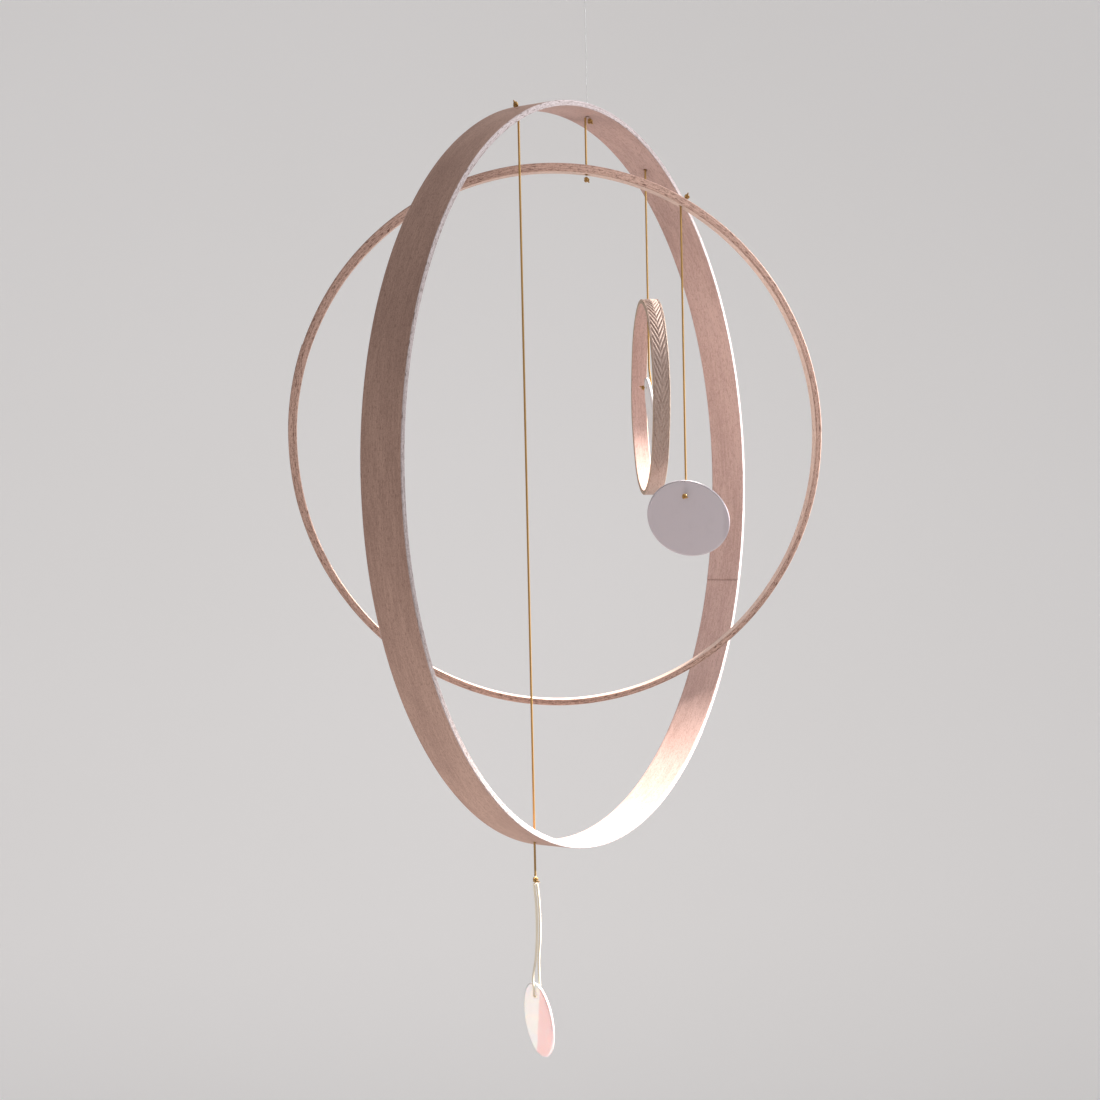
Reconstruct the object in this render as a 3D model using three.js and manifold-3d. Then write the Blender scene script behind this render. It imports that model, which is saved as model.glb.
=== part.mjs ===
// Hanging mobile: two bentwood hoops, a small carved ring and three discs on knotted cords.
//
// Units are millimetres, +Z is up. The origin is the inside of the hanging loop's top,
// where a hook bears. The viewer stands on the -Y side.
import * as THREE from 'three';
import { mergeVertices } from 'three/addons/utils/BufferGeometryUtils.js';
import Module from 'manifold-3d';

const wasm = await Module();
wasm.setup();

// ---------------------------------------------------------------- driving dimensions

const CORD = 1.2; // knotted gold cord, diameter
const PALE_CORD = 1.3; // cream cord of the lowest loop
const LINE = 0.6; // clear nylon line that carries the whole mobile
const HOLE = 2.2; // holes drilled for the cords
const GAP = 0.3; // air kept between neighbouring pieces
const EASE = 0.35; // eased edges of the wooden bands
const KNOT = 3.3; // knot, across
const DRILL_SIDES = 12;

const LARGE = {
  centre: [-2.46, -2.44, -277.68],
  turn: 61.14, // the hoop's plane, turned from +X about the vertical
  radius: 200,
  width: 22,
  wall: 2.9,
  segments: 104,
};
const MIDDLE = {
  centre: [-17.78, -2.8, -254.36],
  turn: 9.66,
  radius: 148,
  width: 7,
  wall: 4, // mean thickness: the lapped strip is thicker to the upper left
  wallSwing: 0.9,
  thickSide: 130, // direction of the thickest place, degrees from the right
  segments: 88,
};
const RING = {
  centre: [35.45, 66.37, -230.4],
  turn: 93.05,
  radius: 57.6,
  width: 9.6,
  wall: 2.8,
  grooves: 84, // chevrons right round the ring
  grooveDepth: 0.5,
  armReach: 3.7, // how far each chevron arm runs from the middle of the band
  armSlope: 1.85, // run round the ring for each unit across it
  plainFrom: 230, // the lap of the strip is left plain between these angles
  plainTo: 300,
};
// Each disc: centre, half sizes, how it is turned from facing the viewer, its lean,
// the angle of its longer axis in its own plane, and the place of its hole.
const RIGHT_DISC = {
  centre: [51.87, 8.9, -301.25], halfWidth: 23.8, halfHeight: 20.9,
  turn: -18, lean: 6, roll: -23, hole: [-1.0, 12.6], thickness: 1.8,
};
const LOWER_DISC = {
  centre: [-36.45, -64.5, -557], halfWidth: 18.7, halfHeight: 18.7,
  turn: -64.5, lean: 2.9, roll: 0, hole: [0, 12.3], thickness: 1.6,
};
const INNER_DISC = {
  centre: [36.33, 66.4, -241.7], halfWidth: 23, halfHeight: 23,
  turn: -88, lean: 6.1, roll: 0, hole: [0, 17.5], thickness: 1.8,
};

// Where the cords hang, measured along each hoop's plane from its centre.
const UPPER_CORD_X = -1.1;
const LONG_CORD_ALONG = -70.95;
const RING_CORD_ALONG = 78.57;
const RIGHT_CORD_ALONG = 69.7;
const RIGHT_CORD_PLUMB_FROM = -150; // height under which the right-hand cord is plumb
const HANGING_LOOP = { halfWidth: 2.6, knotZ: -11.5, knotSize: 2.2 };
const CREAM_LOOP = {
  knotZ: -484.2,
  strand: 0.8, // each strand's offset from the cord above
  bow: 0.9, // how far both strands bow out half way down
  lip: 9.5, // from the disc's hole up to where the strands pass its edge
};

// ---------------------------------------------------------------- materials

const paintedWood = new THREE.MeshStandardMaterial({ color: 0xc4a299, roughness: 0.72, metalness: 0 });
const paleDisc = new THREE.MeshStandardMaterial({ color: 0xe9dede, roughness: 0.5, metalness: 0 });
const goldCord = new THREE.MeshStandardMaterial({ color: 0xa57a35, roughness: 0.55, metalness: 0.2 });
const creamCord = new THREE.MeshStandardMaterial({ color: 0xf3e6cf, roughness: 0.8, metalness: 0 });
const clearNylon = new THREE.MeshStandardMaterial({ color: 0xe6e8e8, roughness: 0.2, metalness: 0 });

// ---------------------------------------------------------------- helpers

const radians = THREE.MathUtils.degToRad;

/** Turns a closed geometry into a manifold solid. */
function toSolid(geometry) {
  const bare = geometry.clone();
  bare.deleteAttribute('normal');
  bare.deleteAttribute('uv');
  const merged = mergeVertices(bare, 1e-4);
  return new wasm.Manifold(new wasm.Mesh({
    numProp: 3,
    vertProperties: merged.attributes.position.array,
    triVerts: Uint32Array.from(merged.index.array),
  }));
}

/** Turns a manifold solid back into a geometry. */
function toGeometry(solid) {
  const mesh = solid.getMesh();
  const geometry = new THREE.BufferGeometry();
  geometry.setAttribute('position', new THREE.BufferAttribute(mesh.vertProperties, 3));
  geometry.setIndex(new THREE.BufferAttribute(mesh.triVerts, 1));
  geometry.computeVertexNormals();
  return geometry;
}

/**
 * Sweeps a closed section round a circle in the XZ plane. sectionAt(angle) lists the
 * section's points as [radius, across, shift]: the shift slides that point round the circle.
 */
function sweepSection(segments, sectionAt) {
  const positions = [];
  const indices = [];
  let count = 0;
  for (let i = 0; i < segments; i += 1) {
    const angle = (2 * Math.PI * i) / segments;
    const section = sectionAt(angle, i);
    count = section.length;
    for (const [radius, across, shift = 0] of section) {
      const around = angle + shift;
      positions.push(radius * Math.cos(around), across, radius * Math.sin(around));
    }
  }
  for (let i = 0; i < segments; i += 1) {
    const here = i * count;
    const next = ((i + 1) % segments) * count;
    for (let j = 0; j < count; j += 1) {
      const k = (j + 1) % count;
      indices.push(here + j, next + j, next + k, here + j, next + k, here + k);
    }
  }
  const geometry = new THREE.BufferGeometry();
  geometry.setAttribute('position', new THREE.Float32BufferAttribute(positions, 3));
  geometry.setIndex(indices);
  geometry.computeVertexNormals();
  return geometry;
}

/** The eight-point section of a flat band with eased edges. */
function bandSection(outer, inner, width) {
  const half = width / 2;
  return [
    [inner, -half + EASE], [inner, half - EASE],
    [inner + EASE, half], [outer - EASE, half],
    [outer, half - EASE], [outer, -half + EASE],
    [outer - EASE, -half], [inner + EASE, -half],
  ];
}

/** A drill for a cord hole: a cylinder on the line out of the circle's centre. */
function radialDrill(angle, radius, length) {
  const drill = new THREE.CylinderGeometry(HOLE / 2, HOLE / 2, length, DRILL_SIDES);
  drill.rotateX(Math.PI / 2);
  drill.translate(0, 0, radius);
  drill.rotateY(Math.PI / 2 - angle);
  return drill;
}

/** A drill that runs straight up and down at a place in the hoop's plane. */
function plumbDrill(along, across, height, length) {
  const drill = new THREE.CylinderGeometry(HOLE / 2, HOLE / 2, length, DRILL_SIDES);
  drill.rotateX(Math.PI / 2);
  drill.translate(along, across, height);
  return drill;
}

/** Cuts the drills out of a geometry. */
function drilled(geometry, drills) {
  let solid = toSolid(geometry);
  for (const drill of drills) {
    solid = solid.subtract(toSolid(drill));
  }
  return toGeometry(solid);
}

/** A point of a hoop's plane, at a radius and angle, in the whole mobile's frame. */
function onHoop(hoop, radius, angle) {
  const along = radius * Math.cos(angle);
  const turn = radians(hoop.turn);
  return [
    hoop.centre[0] + along * Math.cos(turn),
    hoop.centre[1] + along * Math.sin(turn),
    hoop.centre[2] + radius * Math.sin(angle),
  ];
}

/** The angle of the hoop's upper half at which a radius stands over a place along it. */
const angleOver = (along, radius) => Math.acos(along / radius);

/** The wall of the middle hoop at an angle. */
const middleWall = (angle) => (
  MIDDLE.wall + MIDDLE.wallSwing * Math.cos(angle - radians(MIDDLE.thickSide))
);

/** A smooth curve whose steps are shared equally among its points, close ones included. */
class CordCurve extends THREE.CatmullRomCurve3 {
  constructor(points) {
    super(points.map((point) => new THREE.Vector3(...point)), false, 'centripetal');
  }

  getUtoTmapping(u) {
    return u;
  }
}

/** A round cord along hand-set points. */
function cord(name, points, diameter, material, stepsPerPoint = 1) {
  const section = new THREE.Shape();
  section.absarc(0, 0, diameter / 2, 0, 2 * Math.PI);
  const geometry = new THREE.ExtrudeGeometry(section, {
    steps: (points.length - 1) * stepsPerPoint,
    curveSegments: 4,
    extrudePath: new CordCurve(points),
  });
  return named(name, geometry, material);
}

/** A knot: a small lump with three lobes, where the cord crosses itself. */
function knot(name, centre, material, size = KNOT, lean = 0) {
  const geometry = new THREE.SphereGeometry(size / 2, 8, 6);
  const position = geometry.attributes.position;
  const point = new THREE.Vector3();
  for (let i = 0; i < position.count; i += 1) {
    point.fromBufferAttribute(position, i);
    const around = Math.atan2(point.z, point.x);
    const lobes = 1 + 0.1 * Math.sin(3 * around + 2.2 * point.y) * Math.hypot(point.x, point.z) / size;
    point.multiplyScalar(lobes);
    point.y *= 0.92;
    position.setXYZ(i, point.x, point.y, point.z);
  }
  const mesh = named(name, toGeometry(toSolid(geometry)), material);
  mesh.position.set(...centre);
  mesh.rotation.set(radians(60), radians(lean), 0);
  return mesh;
}

function named(name, geometry, material) {
  const mesh = new THREE.Mesh(geometry, material);
  mesh.name = name;
  return mesh;
}

/** Hangs a hoop's mesh at its place, turned about the vertical. */
function hang(mesh, hoop) {
  mesh.position.set(...hoop.centre);
  mesh.rotation.z = radians(hoop.turn);
  return mesh;
}

// ---------------------------------------------------------------- hoops

function largeHoop() {
  const { radius, width, wall, segments } = LARGE;
  const inner = radius - wall;
  const band = sweepSection(segments, () => bandSection(radius, inner, width));
  const turn = radians(LARGE.turn);
  // The nylon line stands at the origin's own upright, so its hole is placed from there.
  const lineAlong = -LARGE.centre[0] * Math.cos(turn) - LARGE.centre[1] * Math.sin(turn);
  const lineAcross = LARGE.centre[0] * Math.sin(turn) - LARGE.centre[1] * Math.cos(turn);
  const geometry = drilled(band, [
    plumbDrill(lineAlong, lineAcross, radius, 4 * wall),
    radialDrill(angleOver(LONG_CORD_ALONG, inner), radius, 4 * wall),
    radialDrill(angleOver(RING_CORD_ALONG, inner), radius, 4 * wall),
    plumbDrill(LONG_CORD_ALONG, 0, -Math.sqrt(radius ** 2 - LONG_CORD_ALONG ** 2), 6 * wall),
  ]);
  return hang(named('large_hoop', geometry, paintedWood), LARGE);
}

function middleHoop() {
  const { radius, width, segments } = MIDDLE;
  const band = sweepSection(segments, (angle) => (
    bandSection(radius, radius - middleWall(angle), width)
  ));
  const middle = radius - MIDDLE.wall / 2;
  const geometry = drilled(band, [
    plumbDrill(upperCordAlong(), 0, middle, 4 * MIDDLE.wall),
    radialDrill(angleOver(RIGHT_CORD_ALONG, radius - MIDDLE.wall), middle, 3 * MIDDLE.wall),
  ]);
  return hang(named('middle_hoop', geometry, paintedWood), MIDDLE);
}

/** The small ring: two rows of the sheared grid to each chevron, one cut and one proud. */
function smallRing() {
  const { radius, width, wall, grooves, grooveDepth, armReach, armSlope } = RING;
  const inner = radius - wall;
  const half = width / 2;
  const shift = -(armReach * armSlope) / radius;
  const plainFrom = radians(RING.plainFrom);
  const plainTo = radians(RING.plainTo);
  const band = sweepSection(2 * grooves, (angle, row) => {
    const plain = angle > plainFrom && angle < plainTo;
    const cut = row % 2 === 0 && !plain ? grooveDepth : 0;
    return [
      [inner, -half], [inner, half], [radius - EASE, half],
      [radius - cut, armReach, shift], [radius - cut, 0], [radius - cut, -armReach, shift],
      [radius - EASE, -half],
    ];
  });
  const geometry = drilled(band, [plumbDrill(0, 0, radius - wall / 2, 3 * wall)]);
  return hang(named('small_ring', geometry, paintedWood), RING);
}

// ---------------------------------------------------------------- discs

/** The place and turn of a disc, as a matrix: its own Z is the face that shows its knot. */
function discMatrix(disc) {
  const turned = new THREE.Euler(Math.PI / 2 + radians(disc.lean), 0, radians(disc.turn), 'ZXY');
  return new THREE.Matrix4().makeRotationFromEuler(turned).setPosition(...disc.centre);
}

/** A point near a disc's hole, at a height over its middle plane. */
function atHole(disc, height, up = 0) {
  const point = new THREE.Vector3(disc.hole[0], disc.hole[1] + up, height);
  return point.applyMatrix4(discMatrix(disc)).toArray();
}

/** Points round a small circle, clockwise, for a hole. */
function circlePoints(x, y, radius, count) {
  const points = [];
  for (let i = 0; i <= count; i += 1) {
    const angle = (-2 * Math.PI * i) / count;
    points.push(new THREE.Vector2(x + radius * Math.cos(angle), y + radius * Math.sin(angle)));
  }
  return points;
}

function discMesh(name, disc) {
  const { halfWidth, halfHeight, thickness, roll, hole } = disc;
  const bevel = 0.3;
  const outline = new THREE.Shape();
  outline.absellipse(0, 0, halfWidth - bevel, halfHeight - bevel, 0, 2 * Math.PI, false, radians(roll));
  const eye = new THREE.Path();
  eye.setFromPoints(circlePoints(hole[0], hole[1], HOLE / 2 + bevel, 10));
  outline.holes.push(eye);
  const geometry = new THREE.ExtrudeGeometry(outline, {
    depth: thickness - 2 * bevel,
    bevelThickness: bevel,
    bevelSize: bevel,
    bevelSegments: 1,
    curveSegments: 24,
  });
  geometry.translate(0, 0, -thickness / 2 + bevel);
  const mesh = named(name, geometry, paleDisc);
  mesh.applyMatrix4(discMatrix(disc));
  return mesh;
}

// ---------------------------------------------------------------- cords

/** Points straight down from one height to another, evenly spaced. */
function plumbRun(x, y, fromZ, toZ, count) {
  const points = [];
  for (let i = 0; i < count; i += 1) {
    points.push([x, y, THREE.MathUtils.lerp(fromZ, toZ, i / (count - 1))]);
  }
  return points;
}

/** The clear line with its tied loop: it stands straight over the large hoop. */
function hangingLine() {
  const { halfWidth, knotZ, knotSize } = HANGING_LOOP;
  const clear = knotSize / 2 + GAP;
  const hoopInside = LARGE.centre[2] + LARGE.radius - LARGE.wall;
  const loop = [[LINE, 0, knotZ + clear]];
  for (let degrees = -30; degrees <= 210; degrees += 20) {
    const angle = radians(degrees);
    const height = LINE / 2 - halfWidth * (1 - Math.sin(angle));
    loop.push([halfWidth * Math.cos(angle), 0, height]);
  }
  loop.push([-LINE, 0, knotZ + clear]);
  const line = plumbRun(0, 0, knotZ - clear, hoopInside - LINE, 9);
  return [
    cord('hanging_loop', loop, LINE, clearNylon),
    knot('hanging_loop_knot', [0, 0, knotZ], clearNylon, knotSize),
    cord('hanging_line', line, LINE, clearNylon),
  ];
}

/** How far along the middle hoop's plane the upper cord passes through it. */
const upperCordAlong = () => (UPPER_CORD_X - MIDDLE.centre[0]) / Math.cos(radians(MIDDLE.turn));

/** The short cord between the large hoop and the middle hoop. */
function upperCord() {
  const hoopInside = LARGE.centre[2] + LARGE.radius - LARGE.wall;
  const angle = angleOver(upperCordAlong(), MIDDLE.radius);
  const inside = MIDDLE.centre[2] + (MIDDLE.radius - middleWall(angle)) * Math.sin(angle);
  const beside = UPPER_CORD_X + KNOT / 2 + CORD / 2 + GAP;
  const under = KNOT / 2 + 3 * GAP;
  const route = plumbRun(UPPER_CORD_X, 0, hoopInside - CORD / 2, inside - CORD / 2, 7);
  return [
    knot('upper_knot', [beside, 0, hoopInside - under], goldCord),
    cord('upper_cord', route, CORD, goldCord),
    knot('middle_knot', [UPPER_CORD_X, 0, inside - CORD - KNOT / 2], goldCord),
  ];
}

/** A cord that hangs from a knot outside a hoop, through its hole and straight down. */
function cordThroughHoop(hoop, along, inner, endZ, count) {
  const angle = angleOver(along, inner);
  const outside = onHoop(hoop, hoop.radius, angle);
  const middle = onHoop(hoop, (hoop.radius + inner) / 2, angle);
  const [x, y, z] = onHoop(hoop, inner, angle);
  const plumb = plumbRun(x, y, z - CORD, endZ, count);
  return { angle, points: [outside, middle, [x, y, z - CORD / 4], ...plumb] };
}

/** The knot that rests outside a hoop over a hole, slipped a little down its slope. */
function restingKnot(name, hoop, angle, slip) {
  const radius = hoop.radius + GAP + KNOT / 2;
  return knot(name, onHoop(hoop, radius, angle + slip / radius), goldCord);
}

/** The longest cord: through the large hoop at top and bottom, down to the loop's knot. */
function longCord() {
  const inner = LARGE.radius - LARGE.wall;
  const { knotZ } = CREAM_LOOP;
  const route = cordThroughHoop(LARGE, LONG_CORD_ALONG, inner, knotZ + KNOT / 2 + GAP, 12);
  const [x, y] = route.points.at(-1);
  return [
    restingKnot('long_cord_knot', LARGE, route.angle, 0.8),
    cord('long_cord', route.points, CORD, goldCord),
    knot('loop_knot', [x, y, knotZ], goldCord),
    lowerLoop(x, y),
  ];
}

/** The cream loop: two strands side by side, through the lowest disc's hole. */
function lowerLoop(x, y) {
  const { knotZ, strand, bow, lip } = CREAM_LOOP;
  const clear = LOWER_DISC.thickness / 2 + PALE_CORD / 2 + GAP;
  const frontLip = atHole(LOWER_DISC, clear, lip);
  const backLip = atHole(LOWER_DISC, -clear, lip);
  const top = knotZ - KNOT / 2 - GAP;
  const join = backLip[2] + lip;
  const high = THREE.MathUtils.lerp(top, join, 0.3);
  const low = THREE.MathUtils.lerp(top, join, 0.7);
  return cord('lower_loop', [
    [x - strand, y, top],
    [x - strand + bow, y, high],
    [x - strand + bow, y, low],
    [x - strand, y, join],
    frontLip,
    atHole(LOWER_DISC, clear, lip / 3),
    atHole(LOWER_DISC, clear),
    atHole(LOWER_DISC, 0),
    atHole(LOWER_DISC, -clear),
    atHole(LOWER_DISC, -clear, lip / 3),
    backLip,
    [x + strand, y, join],
    [x + strand + bow, y, low],
    [x + strand + bow, y, high],
    [x + strand, y, top],
  ], PALE_CORD, creamCord, 2);
}

/** The cord that carries the small ring, and the one that goes on to the disc inside it. */
function ringCord() {
  const inner = LARGE.radius - LARGE.wall;
  const ringInside = RING.centre[2] + RING.radius - RING.wall;
  const route = cordThroughHoop(LARGE, RING_CORD_ALONG, inner, ringInside - GAP, 7);
  const [x, y] = route.points.at(-1);
  const knotZ = ringInside - KNOT / 2 - 2 * GAP;
  return [
    restingKnot('ring_cord_knot', LARGE, route.angle, -0.4),
    cord('ring_cord', route.points, CORD, goldCord),
    knot('ring_knot', [x, y, knotZ], goldCord),
    discCord('inner_cord', INNER_DISC, [[x, y, knotZ - KNOT / 2 - GAP]], 5),
    discKnot('inner_disc_knot', INNER_DISC),
  ];
}

/** A cord on from its last plumb point: down behind a disc and out of its hole's face. */
function discCord(name, disc, start, count) {
  const behind = -disc.thickness / 2 - CORD / 2 - GAP;
  const bend = atHole(disc, behind - GAP, HOLE);
  const [x, y, z] = start.at(-1);
  return cord(name, [
    ...start.slice(0, -1),
    ...plumbRun(x, y, z, bend[2] + 4 * HOLE, count),
    bend,
    atHole(disc, behind + GAP, CORD / 4),
    atHole(disc, 0),
    atHole(disc, disc.thickness / 2),
  ], CORD, goldCord);
}

function discKnot(name, disc) {
  const height = disc.thickness / 2 + GAP + KNOT / 2;
  return knot(name, atHole(disc, height), goldCord, KNOT, 40);
}

/** The cord from the middle hoop's knot down to the disc on the right. */
function rightCord() {
  const inner = MIDDLE.radius - MIDDLE.wall;
  const route = cordThroughHoop(MIDDLE, RIGHT_CORD_ALONG, inner, RIGHT_CORD_PLUMB_FROM, 2);
  return [
    restingKnot('right_cord_knot', MIDDLE, route.angle, -0.8),
    discCord('right_cord', RIGHT_DISC, route.points, 8),
    discKnot('right_disc_knot', RIGHT_DISC),
  ];
}

// ---------------------------------------------------------------- the mobile

const mobile = new THREE.Group();
mobile.add(largeHoop(), middleHoop(), smallRing());
mobile.add(discMesh('right_disc', RIGHT_DISC));
mobile.add(discMesh('lower_disc', LOWER_DISC));
mobile.add(discMesh('inner_disc', INNER_DISC));
mobile.add(...hangingLine(), ...upperCord(), ...longCord(), ...ringCord(), ...rightCord());

export default mobile;
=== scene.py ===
"""Looks of a hanging mobile: bentwood hoops, a carved ring and flat discs on knotted cords.

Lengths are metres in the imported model's frame: +Z up, the origin inside the top of the hanging
loop, the viewer on the -Y side. Every wooden strip, disc and cord is a surface worked out with
numpy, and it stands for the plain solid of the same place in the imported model.
"""

import logging
from dataclasses import dataclass, field
from enum import Enum
from math import cos, pi, radians, sin

import bpy
import numpy as np
from mathutils import Matrix, Vector

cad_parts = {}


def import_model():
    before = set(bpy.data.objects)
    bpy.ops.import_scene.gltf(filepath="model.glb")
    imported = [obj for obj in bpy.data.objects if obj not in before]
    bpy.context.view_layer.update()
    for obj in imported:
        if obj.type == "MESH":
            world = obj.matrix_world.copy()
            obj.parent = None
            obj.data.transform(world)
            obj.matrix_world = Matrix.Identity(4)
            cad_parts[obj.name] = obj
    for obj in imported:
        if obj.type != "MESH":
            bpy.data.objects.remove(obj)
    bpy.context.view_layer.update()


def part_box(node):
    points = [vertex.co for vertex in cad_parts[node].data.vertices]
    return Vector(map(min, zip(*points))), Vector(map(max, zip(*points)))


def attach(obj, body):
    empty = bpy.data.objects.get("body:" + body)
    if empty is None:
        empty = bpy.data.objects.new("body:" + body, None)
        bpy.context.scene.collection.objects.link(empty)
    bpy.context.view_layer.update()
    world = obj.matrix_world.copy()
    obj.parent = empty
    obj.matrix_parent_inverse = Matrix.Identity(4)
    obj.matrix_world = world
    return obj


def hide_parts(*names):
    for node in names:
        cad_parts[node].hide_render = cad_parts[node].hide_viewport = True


MM = 0.001
GAP = 0.3 * MM  # air between neighbouring pieces
BODY = "root"
LOG = logging.getLogger("mobile")

SEAM_HALF = 1.1e-3  # half the width of a lap's seam, in radians round the hoop
SEAM_FLOOR = 4e-5  # half the width of its flat bottom
SEAM_DEPTH = 0.35 * MM
EDGE_STEPS = 4  # steps across a strip's thickness, and round each of its eased edges

Array = np.ndarray
Point = tuple[float, float, float]
Colour = tuple[float, float, float, float]


# ------------------------------------------------------------------ surfaces


def closed_faces(rows: int, columns: int) -> Array:
    """Lists the four-sided faces of a grid that closes on itself both ways.

    Args:
        rows: rows of the grid.
        columns: points in each row.

    Returns:
        An array of rows times columns faces, four point numbers each.
    """
    row, column = np.meshgrid(np.arange(rows), np.arange(columns), indexing="ij")
    next_row, next_column = (row + 1) % rows, (column + 1) % columns
    corners = [
        row * columns + column,
        next_row * columns + column,
        next_row * columns + next_column,
        row * columns + next_column,
    ]
    return np.stack(corners, axis=-1).reshape(-1, 4)


def signed_volume(points: Array, faces: Array) -> float:
    """Gives the volume inside a closed surface: a sixth of the sum of a . (b x c).

    Args:
        points: n by 3 places.
        faces: m by 4 point numbers, each face taken as two triangles a, b, c.

    Returns:
        The volume, negative where the faces point inwards.
    """
    corners = points[faces]
    first = np.einsum("ij,ij->i", corners[:, 0], np.cross(corners[:, 1], corners[:, 2]))
    second = np.einsum("ij,ij->i", corners[:, 0], np.cross(corners[:, 2], corners[:, 3]))
    return float((first.sum() + second.sum()) / 6)


@dataclass
class Sheet:
    """A closed surface on a grid of rows and columns of points, in metres.

    Attributes:
        points: rows by columns by 3 places.
        strip: rows + 1 by columns + 1 by 3 measures along, across and into the piece, for
            patterns that follow it; the last row and column close the grid.
        marks: further numbers for each point, by their attribute's name.
    """

    points: Array
    strip: Array | None = None
    marks: dict[str, Array] = field(default_factory=dict)

    def build(self, name: str) -> bpy.types.Object:
        """Makes the mesh object, with its faces outwards and its measures as attributes."""
        rows, columns, _ = self.points.shape
        places = self.points.reshape(-1, 3)
        faces = closed_faces(rows, columns)
        order = -1 if signed_volume(places, faces) < 0 else 1
        piece = mesh_piece(name, places, faces[:, ::order])
        if self.strip is not None:
            here, ahead = self.strip[:-1], self.strip[1:]
            corners = np.stack([here[:, :-1], ahead[:, :-1], ahead[:, 1:], here[:, 1:]], axis=2)
            add_mark(piece, "strip", corners.reshape(-1, 4, 3)[:, ::order], "CORNER")
        for mark, values in self.marks.items():
            add_mark(piece, mark, values)
        return piece


def mesh_piece(name: str, places: Array, faces: Array) -> bpy.types.Object:
    """Makes a smooth mesh object from places and four-sided faces.

    Args:
        name: the piece's name.
        places: n by 3 places in metres.
        faces: m by 4 point numbers, where a repeated last number makes a triangle.

    Returns:
        The object, linked into the scene.
    """
    mesh = bpy.data.meshes.new(name)
    corners = [face[:3] if face[2] == face[3] else face for face in faces.tolist()]
    mesh.from_pydata(places.tolist(), [], corners)
    mesh.validate()
    mesh.polygons.foreach_set("use_smooth", np.ones(len(mesh.polygons), dtype=bool))
    piece = bpy.data.objects.new(name, mesh)
    bpy.context.scene.collection.objects.link(piece)
    return piece


def add_mark(piece: bpy.types.Object, name: str, values: Array, domain: str = "POINT") -> None:
    """Writes a named attribute that materials read.

    Args:
        piece: the object to write on.
        name: the attribute's name.
        values: one number, or three, for each element.
        domain: the kind of element: points or face corners.
    """
    kind, key = ("FLOAT_VECTOR", "vector") if values.shape[-1] == 3 else ("FLOAT", "value")
    layer = piece.data.attributes.new(name, kind, domain)
    layer.data.foreach_set(key, values.astype(np.float32).ravel())


def smooth_step(values: Array, low: float, high: float) -> Array:
    """Goes from 0 at low to 1 at high by 3t^2 - 2t^3, where t runs evenly between them."""
    t = np.clip((values - low) / (high - low), 0, 1)
    return t * t * (3 - 2 * t)


def rounded_section(width: float, wall: float, edge: float, flat: int) -> tuple[Array, Array]:
    """Walks round a flat strip's section, whose four corners are quarter circles.

    The second half of the walk is the first half turned by half a turn.

    Args:
        width: the section's size across the strip.
        wall: its size into the strip.
        edge: the corners' radius.
        flat: steps along each wide face.

    Returns:
        The depth under the outer face, and the place across the strip, of each point.
    """
    half = width / 2
    wide = np.linspace(-half + edge, half - edge, flat, endpoint=False)
    thin = np.linspace(edge, wall - edge, EDGE_STEPS, endpoint=False)
    turn = np.linspace(0, pi / 2, EDGE_STEPS, endpoint=False)
    depth = np.concatenate(
        [np.zeros(flat), edge - edge * np.cos(turn), thin, wall - edge + edge * np.sin(turn)]
    )
    bends = half - edge + edge * np.sin(turn), half - edge + edge * np.cos(turn)
    across = np.concatenate([wide, bends[0], np.full(EDGE_STEPS, half), bends[1]])
    return np.concatenate([depth, wall - depth]), np.concatenate([across, -across])


# ------------------------------------------------------------------ hoops


class Face(Enum):
    """The face of a strip that something is on."""

    OUTER = 0
    INNER = 1


@dataclass(frozen=True)
class Lap:
    """The tapered end of a strip, glued down on the strip's own other end.

    Attributes:
        at: where the end shows, in degrees round the hoop from its far side.
        run: how far the taper takes to come up, in degrees; its sign says which way.
        step: how high the end stands.
        face: the face that the end shows on.
    """

    at: float
    run: float
    step: float
    face: Face

    def rise(self, angle: Array) -> Array:
        """Gives the height added: it comes up evenly over the run and drops at the end."""
        back = (angle - radians(self.at)) * np.sign(self.run)
        back = np.mod(back, 2 * pi)
        return self.step * np.clip(1 - back / radians(abs(self.run)), 0, 1)

    def seam(self, angle: Array) -> Array:
        """Gives 1 on the line where the end shows and 0 a hair's breadth to either side."""
        away = np.mod(angle - radians(self.at) + pi, 2 * pi) - pi
        return np.clip((SEAM_HALF - np.abs(away)) / (SEAM_HALF - SEAM_FLOOR), 0, 1)


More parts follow.
